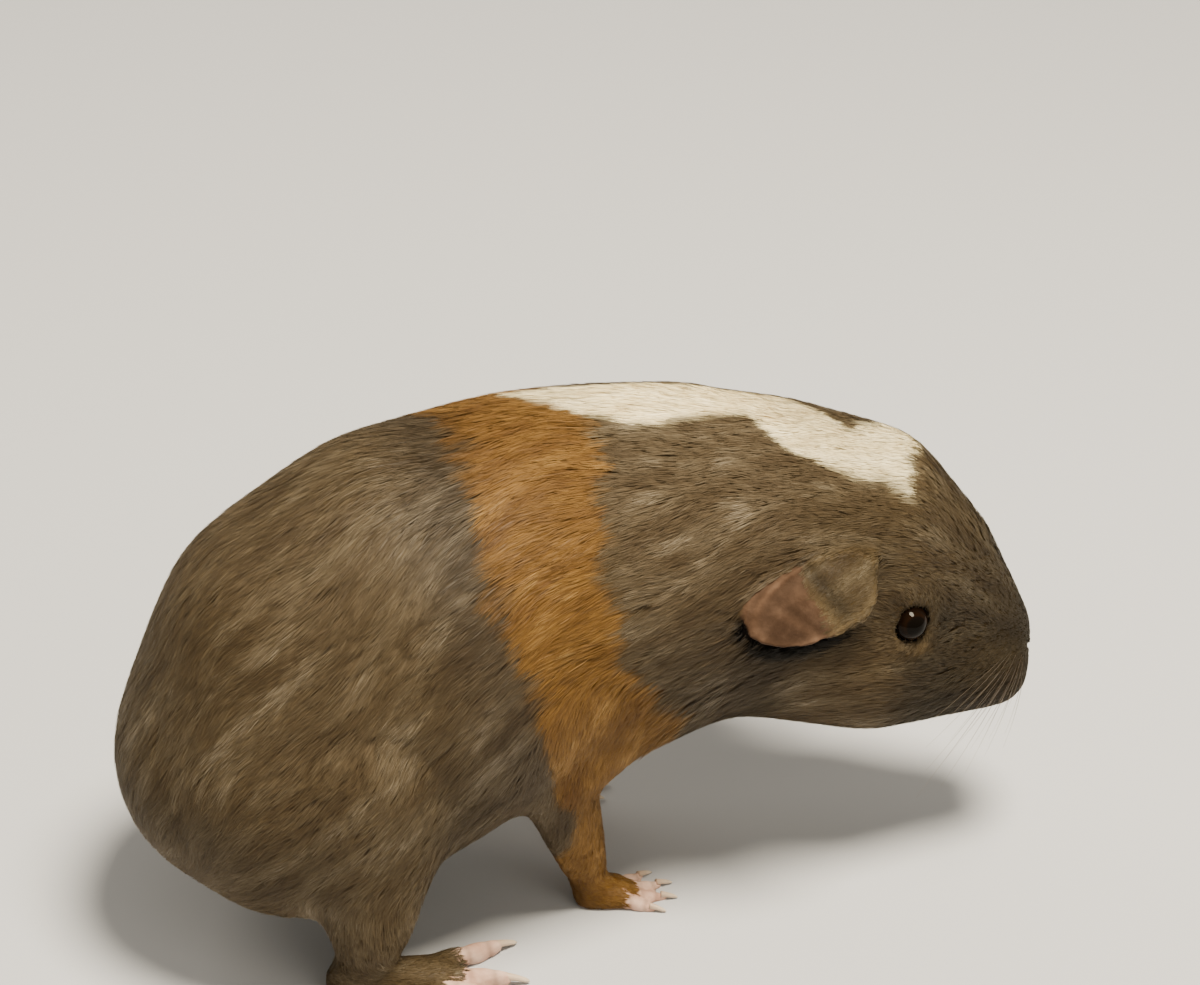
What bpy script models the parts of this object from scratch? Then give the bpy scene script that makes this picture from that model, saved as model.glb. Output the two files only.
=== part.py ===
"""A guinea pig, life size, standing tall on all four feet with its head lowered and turned a little right.

The animal faces +X, +Y is its left side and the floor is Z = 0. The flesh is blocked out as anatomical
masses, ellipsoids that are joined in pairs by their convex hulls. It is fused, smoothed and then parted
by thin cuts into head, neck, trunk, legs and feet. Ears, eyes and claws are solids of their own.
"""

import math
from collections import namedtuple

import bmesh
import bpy
from mathutils import Euler, Matrix, Vector
from mathutils.bvhtree import BVHTree

MM = 0.001

# Driving dimensions, in millimetres unless the name says otherwise. The masses' own origin is on the floor
# under the ribs, and the model's origin is on the floor at the middle of its length.
MIDDLE_X = 13.3
NECK_PIVOT_X = 40.0
HEAD_TURN_DEG = -15.5
CUT = 0.4
SIDES = {"left": 1.0, "right": -1.0}

BODY_VOXEL = 1.6
BODY_SMOOTHING = 8
BODY_TRIANGLES = 3200
FOOT_VOXEL = 0.8
FOOT_SMOOTHING = 3
REGION_DETAIL = 2
FOOT_TRIANGLES = 360

EYE_RADIUS = 5.0
EYE_DEPTH = 2.9
EYE_AT = (103.7, 79.0)
SOCKET_GAP = 0.4

TOE_RISE, TOE_DROP = 0.6, 1.4
CLAW_BED, CLAW_GAP = 1.3, 0.32
FOOT_COLLAR_SHRINK = 0.8

EAR_AT = (74.5, 93.5)
EAR_LENGTH, EAR_WIDTH, EAR_THICKNESS = 40.0, 27.0, 1.6
EAR_FLARE, EAR_DROOP = 0.36, 0.58
EAR_LIFT, EAR_CUP = 3.4, 2.4
EAR_RINGS, EAR_SPOKES = 3, 16

HEAD_CUT_X, NECK_CUT_X = 60.0, 38.0
NECK_CUT_LEAN_DEG = -14.0
ANKLE_CUT_Z, WRIST_CUT_Z = 13.0, 11.0

# A mass is an ellipsoid: its centre, its half sizes, how far its long axis dips at the front, in degrees,
# and the share of the head's turn that it takes. A paired mass is given on the left, at +Y.
Mass = namedtuple("Mass", "x y z long wide high dip turn", defaults=(0.0, 0.0))

MASSES = {
    "pelvis": Mass(-56, 0, 77.5, 39.5, 42, 45, -30),
    "loin": Mass(-32, 0, 87, 36, 45, 49, -14),
    "seat": Mass(-74, 0, 52, 36, 41, 34),
    "haunch": Mass(-65, 18, 54, 37, 31, 39),
    "belly": Mass(-22, 0, 80, 42, 52, 54, -12),
    "ribs": Mass(2, 0, 86.5, 36, 49, 52.5, -6),
    "chest": Mass(24, 0, 87, 30, 45, 51),
    "shoulder": Mass(26, 18, 82, 24, 26, 36),
    "neck_base": Mass(46, 0, 88.5, 26, 41, 46.5, 0, 0.1),
    "nape": Mass(68, 0, 94.5, 29, 35, 34.5, 10, 0.6),
    "throat": Mass(68, 0, 72, 32, 32, 32, 8, 0.6),
    "crown": Mass(92, 0, 98, 22, 24.5, 26, 30, 1.0),
    "jowl": Mass(94, 12, 64, 22, 17, 24, 0, 1.0),
    "orbit": Mass(104, 9.5, 82, 13, 12.5, 15, 40, 1.0),
    "bridge": Mass(119.5, 0, 80.5, 9.5, 11.5, 17, 10, 1.0),
    "nose": Mass(129.5, 0, 60, 10, 9.5, 12.5, 15, 1.0),
    "whisker_pad": Mass(127.5, 6.5, 52, 11, 8.5, 11, 0, 1.0),
    "chin": Mass(119, 0, 45, 12, 9, 7, 0, 1.0),
    "upper_arm": Mass(13, 30, 72, 18, 13, 24, -20),
    "elbow": Mass(-2, 31, 48, 11, 10, 12),
    "forearm": Mass(4.5, 27, 28, 8.5, 7.5, 12),
    "wrist": Mass(9, 25, 11, 6.2, 5.8, 6),
    "thigh": Mass(-54, 36, 58, 27, 17, 32, 25),
    "knee": Mass(-52, 39, 44, 17, 13, 18),
    "calf": Mass(-55, 40, 33, 15.5, 11.5, 15),
    "shank": Mass(-55.5, 41.5, 22, 12, 9, 11),
    "ankle": Mass(-56.5, 42, 12, 8.6, 7, 8),
}
HULLS = [
    ("pelvis", "loin"), ("loin", "ribs"), ("seat", "pelvis"), ("seat", "belly"), ("haunch", "pelvis"),
    ("haunch", "belly"), ("pelvis", "belly"), ("belly", "ribs"), ("ribs", "chest"), ("chest", "neck_base"),
    ("shoulder", "chest"), ("shoulder", "ribs"), ("neck_base", "nape"), ("neck_base", "throat"),
    ("nape", "crown"), ("nape", "throat"), ("throat", "jowl"), ("crown", "jowl"), ("crown", "orbit"),
    ("crown", "bridge"), ("orbit", "bridge"), ("bridge", "nose"), ("jowl", "orbit"), ("orbit", "nose"),
    ("jowl", "whisker_pad"), ("jowl", "chin"), ("nose", "whisker_pad"),
    ("upper_arm", "elbow"), ("elbow", "forearm"), ("forearm", "wrist"),
    ("thigh", "knee"), ("thigh", "calf"), ("knee", "calf"), ("calf", "shank"), ("shank", "ankle"),
]

# A foot's own frame has +X along it, +Y outwards and its origin on the floor below the ankle or wrist.
Foot = namedtuple("Foot", "x y splay sole toes toe_radius claw")
Toe = namedtuple("Toe", "root_x root_y length fan")
Claw = namedtuple("Claw", "length radius droop")
FEET = {
    "hind": Foot(
        -56, 41.5, 16,
        [Mass(-6, 0, 3.9, 6.5, 5, 5.2), Mass(6, 0, 3.9, 9, 5.6, 5.2), Mass(15, 0, 3.5, 7, 7.6, 4.8)],
        [Toe(18.5, -6, 13, -28), Toe(19.5, 0.3, 12, 0), Toe(17.5, 5.6, 10, 12)],
        3.1, Claw(8.0, 1.25, 1.9),
    ),
    "fore": Foot(
        10.5, 25, 8,
        [Mass(0, 0, 3.8, 5.4, 4.8, 5), Mass(5, 0, 3.1, 6, 6, 4.2)],
        [Toe(8, -4.4, 6, -24), Toe(9.5, -1.5, 8, -8), Toe(9.5, 1.6, 8, 8), Toe(8, 4.4, 6, 24)],
        2.0, Claw(5.0, 0.95, 1.1),
    ),
}
# The part of the body round each leg that goes with it, as two masses whose hull is cut out of the trunk.
LEG_REGIONS = {
    "hind": [Mass(-54, 47, 55, 28, 18, 34, 15), Mass(-55, 43, 12, 17, 14, 14)],
    "fore": [Mass(4, 41, 64, 23, 17, 27, -10), Mass(5.5, 28, 12, 17, 14, 13)],
}

COLOURS = {
    "agouti": (0.15, 0.10, 0.06, 1),
    "ear_skin": (0.35, 0.19, 0.13, 1),
    "foot_skin": (0.62, 0.42, 0.34, 1),
    "eye": (0.010, 0.006, 0.004, 1),
    "claw": (0.42, 0.34, 0.27, 1),
}
ROUGHNESS = {"agouti": 0.85, "ear_skin": 0.55, "foot_skin": 0.55, "eye": 0.08, "claw": 0.4}


def clear_scene():
    for obj in list(bpy.data.objects):
        bpy.data.objects.remove(obj)


def collection(name):
    made = bpy.data.collections.new(name)
    bpy.context.scene.collection.children.link(made)
    return made


def material(name):
    made = bpy.data.materials.new(name)
    made.use_nodes = True
    shader = made.node_tree.nodes["Principled BSDF"]
    shader.inputs["Base Color"].default_value = COLOURS[name]
    shader.inputs["Roughness"].default_value = ROUGHNESS[name]
    shader.inputs["Metallic"].default_value = 0.0
    return made


def turned(point, share=1.0):
    """A point of the neck or head after the head's turn about the neck."""
    pivot = Vector((NECK_PIVOT_X, 0, 0))
    turn = Matrix.Rotation(math.radians(HEAD_TURN_DEG * share), 3, "Z")
    return pivot + turn @ (Vector(point) - pivot)


def mass_points(mass, side=1.0, grow=0.0, detail=None):
    """The points of a mass's surface, in millimetres, finer on a large mass unless the detail is given."""
    ball = bmesh.new()
    bmesh.ops.create_icosphere(ball, subdivisions=detail or (4 if mass.long > 25 else 3), radius=1.0)
    dip = Matrix.Rotation(math.radians(mass.dip), 3, "Y")
    centre = Vector((mass.x, mass.y * side, mass.z))
    size = Vector((mass.long + grow, mass.wide + grow, mass.high + grow))
    found = [turned(centre + dip @ (v.co * size), mass.turn) for v in ball.verts]
    ball.free()
    return found


def add_hull(clay, points):
    """Adds the convex hull of the points to the clay as a closed shell."""
    hull = bmesh.new()
    for point in points:
        hull.verts.new(point * MM)
    made = bmesh.ops.convex_hull(hull, input=hull.verts)
    inside = [g for g in made["geom_interior"] if isinstance(g, bmesh.types.BMVert)]
    bmesh.ops.delete(hull, geom=inside, context="VERTS")
    bmesh.ops.recalc_face_normals(hull, faces=hull.faces)
    shell = bpy.data.meshes.new("hull")
    hull.to_mesh(shell)
    hull.free()
    clay.from_mesh(shell)
    bpy.data.meshes.remove(shell)


def body_clay():
    """Every pair of masses in HULLS. A pair on the middle plane is joined once, any other on both sides."""
    clay = bmesh.new()
    for first, second in HULLS:
        middle = MASSES[first].y == 0 and MASSES[second].y == 0
        for side in [1.0] if middle else SIDES.values():
            add_hull(clay, mass_points(MASSES[first], side) + mass_points(MASSES[second], side))
    return clay


def mesh_object(name, clay, where):
    mesh = bpy.data.meshes.new(name)
    clay.to_mesh(mesh)
    clay.free()
    obj = bpy.data.objects.new(name, mesh)
    where.objects.link(obj)
    return obj


def stand(objects):
    """Puts the model's origin on the floor below the middle of its length."""
    place = bpy.data.objects.new("standing_place", None)
    bpy.context.scene.collection.objects.link(place)
    place.location = Vector((-MIDDLE_X, 0, 0)) * MM
    for obj in objects:
        obj.parent = place


def finished(obj):
    """Applies the object's modifiers."""
    graph = bpy.context.evaluated_depsgraph_get()
    graph.update()
    mesh = bpy.data.meshes.new_from_object(obj.evaluated_get(graph))
    obj.modifiers.clear()
    obj.data = mesh
    return obj


def fused(obj, voxel, passes, triangles):
    """Fuses overlapping shells into one skin, smooths it and thins it to about that many triangles."""
    remesh = obj.modifiers.new("fuse", "REMESH")
    remesh.mode = "VOXEL"
    remesh.voxel_size = voxel * MM
    smooth = obj.modifiers.new("smooth", "SMOOTH")
    smooth.factor = 0.5
    smooth.iterations = passes
    finished(obj)
    thin = obj.modifiers.new("thin", "DECIMATE")
    thin.ratio = triangles / (2 * len(obj.data.polygons))
    return finished(obj)


def cutter(name, clay, where):
    obj = mesh_object(name, clay, where)
    obj.hide_render = True
    obj.display_type = "WIRE"
    return obj


def hull_cutter(name, masses, side, grow, where):
    clay = bmesh.new()
    points = [p for mass in masses for p in mass_points(mass, side, grow, REGION_DETAIL)]
    add_hull(clay, points)
    return cutter(name, clay, where)


def box_cutter(name, low, high, where, turn=Matrix.Identity(4)):
    clay = bmesh.new()
    low, high = Vector(low), Vector(high)
    bmesh.ops.create_cube(clay, size=1.0)
    middle = Matrix.Translation((low + high) / 2 * MM)
    size = Matrix.Diagonal((*((high - low) * MM), 1.0))
    bmesh.ops.transform(clay, matrix=turn @ middle @ size, verts=clay.verts)
    return cutter(name, clay, where)


def boolean(obj, other, operation):
    modifier = obj.modifiers.new(f"{operation.lower()}_{other.name}"[:60], "BOOLEAN")
    modifier.operation = operation
    modifier.object = other
    return obj


def node(name, mesh, slot, where):
    obj = bpy.data.objects.new(name, mesh.copy())
    obj.data.materials.clear()
    obj.data.materials.append(slot)
    where.objects.link(obj)
    return obj


def neck_planes(where):
    """The space in front of each of the neck's two cuts, as a large box, with and without the cut's width."""
    planes = {}
    for name, x, lean, share in (("head", HEAD_CUT_X, 0.0, 0.6), ("neck", NECK_CUT_X, NECK_CUT_LEAN_DEG, 0.1)):
        at = turned((x, 0, 80), share) * MM
        face = Euler((0, math.radians(lean), math.radians(HEAD_TURN_DEG * share)))
        turn = Matrix.Translation(at) @ face.to_matrix().to_4x4()
        planes[name] = box_cutter(f"before_{name}_cut", (CUT / 2, -90, -90), (200, 90, 90), where, turn)
        planes[f"{name}_wide"] = box_cutter(f"at_{name}_cut", (-CUT / 2, -90, -90), (200, 90, 90), where, turn)
    return planes


def surface_finder(obj):
    """A function that finds the body's side surface at a place of the head before its turn."""
    tree = BVHTree.FromPolygons([v.co for v in obj.data.vertices], [p.vertices for p in obj.data.polygons])
    across = turned((NECK_PIVOT_X, 1, 0)) - turned((NECK_PIVOT_X, 0, 0))

    def find(x, z, side, share=1.0):
        start = turned((x, 0, z), share) * MM
        ray = across.normalized() * side
        point, normal, _, _ = tree.ray_cast(start + ray * 0.1, -ray)
        return point / MM, normal

    return find


def eye_clay(place, radius):
    clay = bmesh.new()
    bmesh.ops.create_uvsphere(clay, u_segments=14, v_segments=9, radius=radius * MM)
    bmesh.ops.translate(clay, verts=clay.verts, vec=place * MM)
    return clay


def ear_point(along, across, side, find):
    """A point of the ear's leaf in its own round frame: along is -1 at the front and 1 at the rear tip,
    across is -1 at the root's edge and 1 at the hanging margin, and the two make a disc."""
    centre = find(*EAR_AT, side)[0]
    backward = turned_direction((-0.965, side * EAR_FLARE, -0.17)).normalized()
    downward = turned_direction((-0.10, side * EAR_DROOP, -0.76)).normalized()
    outward = turned_direction((0.0, side * 0.76, EAR_DROOP))
    taper = 1.0 - 0.22 * along
    cup = EAR_CUP * (1.0 - along * along - across * across)
    lift = EAR_LIFT + cup
    return centre + backward * (EAR_LENGTH / 2 * along) + downward * (EAR_WIDTH / 2 * across * taper) + outward * lift


def turned_direction(direction):
    return turned(Vector((NECK_PIVOT_X, 0, 0)) + Vector(direction)) - turned((NECK_PIVOT_X, 0, 0))


def ear_clay(side, find):
    """The ear's leaf as rings round its middle, thickened later by Solidify."""
    clay = bmesh.new()
    middle = clay.verts.new(ear_point(0.0, 0.0, side, find) * MM)
    rings = []
    for i in range(1, EAR_RINGS + 1):
        ring = []
        for j in range(EAR_SPOKES):
            angle = 2 * math.pi * j / EAR_SPOKES
            reach = i / EAR_RINGS
            point = ear_point(reach * math.cos(angle), reach * math.sin(angle), side, find)
            ring.append(clay.verts.new(point * MM))
        rings.append(ring)
    for j in range(EAR_SPOKES):
        k = (j + 1) % EAR_SPOKES
        clay.faces.new((middle, rings[0][j], rings[0][k]))
        for inner, outer in zip(rings, rings[1:]):
            clay.faces.new((inner[j], outer[j], outer[k], inner[k]))
    bmesh.ops.recalc_face_normals(clay, faces=clay.faces)
    return clay


def foot_frame(foot, side):
    """From a foot's own frame, in millimetres, to the body's."""
    splay = Matrix.Rotation(math.radians(foot.splay * side), 4, "Z")
    mirror = Matrix.Diagonal((1, side, 1, 1))
    return Matrix.Translation((foot.x, foot.y * side, 0)) @ splay @ mirror


def toe_line(toe, foot):
    """The toe's root and tip."""
    fan = math.radians(toe.fan)
    root = Vector((toe.root_x, toe.root_y, foot.toe_radius + TOE_RISE))
    tip = root + Vector((toe.length * math.cos(fan), toe.length * math.sin(fan), -TOE_DROP))
    return root, tip


def ball_points(centre, radius):
    return mass_points(Mass(*centre, radius, radius, radius))


def foot_clay(kind, side):
    """Sole, toes and the end of the leg, which is cut off where the leg's own node begins."""
    foot = FEET[kind]
    place = foot_frame(foot, side)
    clay = bmesh.new()
    for first, second in zip(foot.sole, foot.sole[1:]):
        add_hull(clay, [place @ p for p in mass_points(first) + mass_points(second)])
    for toe in foot.toes:
        root, tip = toe_line(toe, foot)
        points = ball_points(root, foot.toe_radius) + ball_points(tip, foot.toe_radius * 0.8)
        add_hull(clay, [place @ p for p in points])
    leg = ("shank", "ankle") if kind == "hind" else ("forearm", "wrist")
    collar = [mass_points(MASSES[name], side, -FOOT_COLLAR_SHRINK) for name in leg]
    heel = [place @ p for p in mass_points(foot.sole[0])]
    add_hull(clay, collar[0] + collar[1])
    add_hull(clay, collar[1] + heel)
    return clay


def claw_clay(kind, toe, side, grow=0.0, steps=3, sides=7):
    """A tapered, drooping horn: rings of shrinking radius along a curved line. Grown, it cuts the bed that
    the claw sits in."""
    foot = FEET[kind]
    claw, place = foot.claw, foot_frame(foot, side)
    root, tip = toe_line(toe, foot)
    along = (tip - root).normalized()
    along.z = 0
    across = Vector((-along.y, along.x, 0))
    start = tip + along * (foot.toe_radius * 0.8 - CLAW_BED - grow) + Vector((0, 0, 0.5))
    clay = bmesh.new()
    rings = []
    for i in range(steps + 1):
        share = i / steps
        radius = claw.radius * (1 - 0.78 * share ** 1.5) + grow
        drop = claw.droop * share ** 2
        centre = start + along * (claw.length * share) - Vector((0, 0, drop))
        ring = []
        for j in range(sides):
            angle = 2 * math.pi * j / sides
            round_way = across * math.cos(angle) + Vector((0, 0, 1)) * math.sin(angle)
            ring.append(clay.verts.new(place @ (centre + round_way * radius) * MM))
        rings.append(ring)
    for near, far in zip(rings, rings[1:]):
        for j in range(sides):
            k = (j + 1) % sides
            clay.faces.new((near[j], near[k], far[k], far[j]))
    clay.faces.new(rings[0])
    clay.faces.new(rings[-1])
    bmesh.ops.recalc_face_normals(clay, faces=clay.faces)
    return clay


def grown(obj, amount, where):
    """A copy of the object that is larger by that amount all over, as a cutter."""
    copy = obj.copy()
    copy.data = obj.data.copy()
    copy.name = f"{obj.name}_grown"
    where.objects.link(copy)
    push = copy.modifiers.new("grow", "DISPLACE")
    push.strength = amount * MM
    push.mid_level = 0.0
    return finished(copy)


def build():
    clear_scene()
    animal = collection("guinea_pig")
    tools = collection("cutters")
    slots = {name: material(name) for name in COLOURS}

    whole = fused(cutter("whole", body_clay(), tools), BODY_VOXEL, BODY_SMOOTHING, BODY_TRIANGLES)
    find = surface_finder(whole)
    planes = neck_planes(tools)
    floor = box_cutter("below_floor", (-200, -200, -60), (200, 200, 0), tools)
    legs_wide = {}
    for kind in FEET:
        for side_name, side in SIDES.items():
            name = f"{kind}leg_{side_name}"
            region = hull_cutter(f"{name}_region", LEG_REGIONS[kind], side, 0, tools)
            legs_wide[name] = hull_cutter(f"{name}_wide", LEG_REGIONS[kind], side, CUT, tools)
            cut_z = ANKLE_CUT_Z if kind == "hind" else WRIST_CUT_Z
            foot_space = box_cutter(f"{name}_foot", (-200, -200, -60), (200, 200, cut_z), tools)
            leg_space = box_cutter(f"{name}_above", (-200, -200, cut_z - CUT), (200, 200, 200), tools)
            leg = node(name, whole.data, slots["agouti"], animal)
            boolean(leg, region, "INTERSECT")
            boolean(leg, foot_space, "DIFFERENCE")
            foot = fused(
                mesh_object(f"{kind}foot_{side_name}", foot_clay(kind, side), animal),
                FOOT_VOXEL, FOOT_SMOOTHING, FOOT_TRIANGLES,
            )
            foot.data.materials.append(slots["foot_skin"])
            boolean(foot, leg_space, "DIFFERENCE")
            boolean(foot, floor, "DIFFERENCE")
            for number, toe in enumerate(FEET[kind].toes, 1):
                claw = mesh_object(
                    f"claw_{kind}_{side_name}_{number}", claw_clay(kind, toe, side), animal
                )
                claw.data.materials.append(slots["claw"])
                bed = cutter(f"bed_{kind}_{side_name}_{number}", claw_clay(kind, toe, side, CLAW_GAP), tools)
                boolean(foot, bed, "DIFFERENCE")

    trunk = node("trunk", whole.data, slots["agouti"], animal)
    boolean(trunk, planes["neck_wide"], "DIFFERENCE")
    for region in legs_wide.values():
        boolean(trunk, region, "DIFFERENCE")
    neck = node("neck", whole.data, slots["agouti"], animal)
    boolean(neck, planes["neck"], "INTERSECT")
    boolean(neck, planes["head_wide"], "DIFFERENCE")
    head = node("head", whole.data, slots["agouti"], animal)
    boolean(head, planes["head"], "INTERSECT")

    wide_whole = grown(whole, CUT, tools)
    for side_name, side in SIDES.items():
        point, normal = find(*EYE_AT, side)
        place = point - normal * EYE_DEPTH
        eye = mesh_object(f"eye_{side_name}", eye_clay(place, EYE_RADIUS), animal)
        eye.data.materials.append(slots["eye"])
        socket = cutter(f"socket_{side_name}", eye_clay(place, EYE_RADIUS + SOCKET_GAP), tools)
        boolean(head, socket, "DIFFERENCE")
        ear = mesh_object(f"ear_{side_name}", ear_clay(side, find), animal)
        ear.data.materials.append(slots["ear_skin"])
        thick = ear.modifiers.new("thick", "SOLIDIFY")
        thick.thickness = EAR_THICKNESS * MM
        thick.offset = 0.0
        boolean(ear, wide_whole, "DIFFERENCE")
    stand([*animal.objects, *tools.objects])


build()
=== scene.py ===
"""The looks of a guinea pig that stands with its head lowered and turned to its right.

One skin stands for the flesh of the frame. It lies inside it by the coat's depth and has the lids, nostrils,
mouth, ears and toes. Over it lies the coat: locks of thin flat hairs that follow the lie of the fur. Eyes,
claws and whiskers are pieces of their own. Lengths are in millimetres until a mesh is made.
"""

import math
from collections import namedtuple
from functools import cache
from types import SimpleNamespace

import bmesh
import bpy
import numpy as np
from mathutils import Matrix, Vector
from mathutils.bvhtree import BVHTree


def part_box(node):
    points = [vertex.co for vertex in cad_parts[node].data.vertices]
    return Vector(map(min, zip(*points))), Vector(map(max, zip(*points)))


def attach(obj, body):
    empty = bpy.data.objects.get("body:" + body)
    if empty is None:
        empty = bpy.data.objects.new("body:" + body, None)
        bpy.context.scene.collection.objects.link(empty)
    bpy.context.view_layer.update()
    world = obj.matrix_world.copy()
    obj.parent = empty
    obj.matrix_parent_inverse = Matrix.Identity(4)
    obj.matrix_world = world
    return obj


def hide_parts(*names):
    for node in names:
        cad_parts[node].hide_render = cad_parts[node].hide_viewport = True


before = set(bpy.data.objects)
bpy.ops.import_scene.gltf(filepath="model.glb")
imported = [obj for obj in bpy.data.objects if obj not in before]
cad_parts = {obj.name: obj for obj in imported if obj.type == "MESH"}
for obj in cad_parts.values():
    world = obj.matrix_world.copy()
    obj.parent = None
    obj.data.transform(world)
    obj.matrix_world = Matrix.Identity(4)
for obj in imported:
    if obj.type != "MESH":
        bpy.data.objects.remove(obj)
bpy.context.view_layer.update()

MM = 0.001
SIDES = {"left": 1.0, "right": -1.0}

# For each kind of flesh node: passes of smoothing, the thickness the skin regains, the depth of the coat,
# the length of its hairs, the area of skin for a lock, and the width of a hair.
Part = namedtuple("Part", "smoothing regained depth length area width")
PARTS = {
    "head": Part(24, 0.1, 1.1, 7.5, 1.6, 0.24),
    "neck": Part(80, 0.5, 1.6, 10.0, 1.7, 0.26),
    "trunk": Part(130, 0.8, 1.7, 11.0, 1.7, 0.27),
    "ear": Part(9, 0.0, 0.1, 2.4, 0.5, 0.13),
    "foreleg": Part(12, 0.1, 0.9, 6.0, 1.4, 0.24),
    "hindleg": Part(14, 0.2, 1.25, 8.0, 1.6, 0.26),
    "forefoot": Part(3, 0.0, 0.2, 2.0, 0.6, 0.17),
    "hindfoot": Part(3, 0.0, 0.25, 2.4, 0.7, 0.18),
}
SINGLE = ("head", "neck", "trunk")
FLESH = [*SINGLE, *(f"{kind}_{side}" for kind in PARTS if kind not in SINGLE for side in SIDES)]
KINDS = np.array([name.split("_")[0] for name in FLESH])
CLAWS = [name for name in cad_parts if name.startswith("claw")]

# The skin.
WELD = 1e-6
SEAM_OVERLAP = 0.35
SKIN_VOXEL = 1.0
FOOT_DROP = 0.8

# The eyes and lids. Angles round an eye are measured from where it looks.
HEAD_TURN = math.radians(-15.5)
EYE_RADIUS = 5.0
EYE_FORWARD, EYE_UP = 0.33, 0.22
CORNEA_RISE, CORNEA_EDGE = 0.35, math.radians(46.8)
LID_OPENING, LID_ALMOND = math.radians(35), 0.10
LID_GAP, LID_THICKNESS, LID_ROLL, LID_RIM = 0.25, 0.75, 0.30, 0.16
LID_REACH, EYE_SOCKET = 4.0, 0.9

# The nose and mouth, as places to the side of and above the nose tip.
NOSTRIL_INNER, NOSTRIL_OUTER = (1.5, -1.6), (4.3, 0.9)
NOSTRIL_SINK, NOSTRIL_LIP, CLEFT_SINK, MOUTH_SINK = 2.2, 0.35, 0.8, 0.9
MOUTH_HEIGHT, MOUTH_DROOP = -13.0, 0.16

# The ears. A hollow's numbers say how far it reaches past the ends and past the lower edge of its ear. The
# second is the reach of a painted shadow of the ear on the fur below it.
EAR_RIM, EAR_FOLD, EAR_GROOVE = 0.45, 0.85, 0.80
EAR_CORNER, CORNER_TURN, CORNER_WIDTH = 0.26, 1.0, 0.45
BARE_HOLLOW, PAINTED_EAR_SHADOW = (-1.0, 9.0), (2.4, 12.4)
# How deep the bare hollow sinks, and how far it is bald and painted dark: the bald patch's own dark skin
# together with painted shade.
HOLLOW_DEPTH, HOLLOW_SKIN = 2.4, 0.45

# The toes, for a hind toe. A fore toe is smaller, as its claw is.
HIND_CLAW, CLAW_ROOT, CLAW_TIP, CLAW_RINGS, CLAW_SIDES = 8.0, 2.4, 0.45, 16, 14
TOE_REACH, TOE_RISE, BARE_TOE = 3.3, 0.35, 9.5

# The whiskers.
WHISKER_ROWS, WHISKER_COLUMNS, WHISKER_SIDES, WHISKER_RADIUS = 4, 5, 5, 0.075

# The coat. A step of a hair is how far along it is, how high in the coat, and the share of its width there.
HAIRS_IN_LOCK = 9
HAIR_BEND = 0.52
HAIR_STEPS = ((0.0, -0.12, 1.0), (HAIR_BEND, 0.66, 0.82), (1.0, 1.0, 0.0))
LAY_OF_HAIR = 0.20
LOCK_SPREAD = 0.80
MARKED_AT = 0.75
FLOOR_GAP = 0.3
REAR_ENDS, FACE_STARTS = -30, -8
COAT_MAP, PATCH, ISLAND_GAP = "OFBake", 0.003, 0.003
QUICK_DENSITY, QUICK_SPREAD, QUICK_WIDTH = ((1.0, 1.0, 1.0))

# Where the markings begin and end. Each pair is a height or a place along the body, and the edge there.
BAND_REAR = ((30, -12), (60, -22), (95, -31), (112, -35), (126, -38), (137, -32))
BAND_FRONT = ((30, 24), (62, 16), (82, 0), (96, -5), (126, -6), (137, 3))
NAPE_RIGHT = (
    (-15, 14), (-6, 3), (1, -6), (11, -10), (29, -10.5), (39, -7.5), (46, -7), (49, -14), (54, -19),
    (60, -23.5), (68, -26), (81, -30.4), (91, -15.5),
)
NAPE_LEFT = (
    (-15, 15), (-6, 17), (11, 13), (39, 10), (60, 5), (66, -1), (72, -13), (78, -9), (85, -7), (91, -15),
)
RAGGED_EDGE, SKIN_EDGE = 1.8, 2.5

# Small light and dark places round the eye: how far forward and up, how long and high, and the change. The
# thin pale line just below the eye is a painted highlight on the lower lid, and the light place behind and
# below it is painted light on the cheek in the ear's shadow.
FACE_SPOTS = (
    (2.0, -7.4, 3.2, 1.3, 2.1), (-0.5, -5.2, 3.6, 0.9, 1.3), (9.3, -0.4, 1.6, 2.6, -0.55),
    (-5.5, 6.5, 4.0, 4.5, -0.28), (-8.5, -5.0, 4.5, 6.0, 0.55),
)

# Colours, from dark to light or from one end of a piece to the other.
AGOUTI = (
    (0.0, (0.048, 0.0300, 0.0125)), (0.4, (0.072, 0.0485, 0.0222)),
    (0.75, (0.109, 0.081, 0.045)), (1.0, (0.205, 0.165, 0.114)),
)
GREY_AGOUTI = (
    (0.0, (0.034, 0.0228, 0.0130)), (0.4, (0.049, 0.0345, 0.0212)),
    (0.75, (0.079, 0.0605, 0.0410)), (1.0, (0.170, 0.138, 0.104)),
)
ORANGE = (
    (0.0, (0.088, 0.039, 0.0080)), (0.4, (0.128, 0.062, 0.0130)),
    (0.75, (0.190, 0.098, 0.024)), (1.0, (0.31, 0.19, 0.070)),
)
WHITE = ((0.0, (0.58, 0.47, 0.28)), (0.4, (0.74, 0.64, 0.41)), (1.0, (0.86, 0.78, 0.57)))
EAR_SKIN = ((0.25, (0.038, 0.0200, 0.0112)), (0.5, (0.061, 0.0340, 0.0210)), (0.75, (0.098, 0.058, 0.038)))
TOE_SKIN = ((0.2, (0.40, 0.22, 0.165)), (0.5, (0.52, 0.34, 0.27)), (0.8, (0.64, 0.47, 0.39)))
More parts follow.
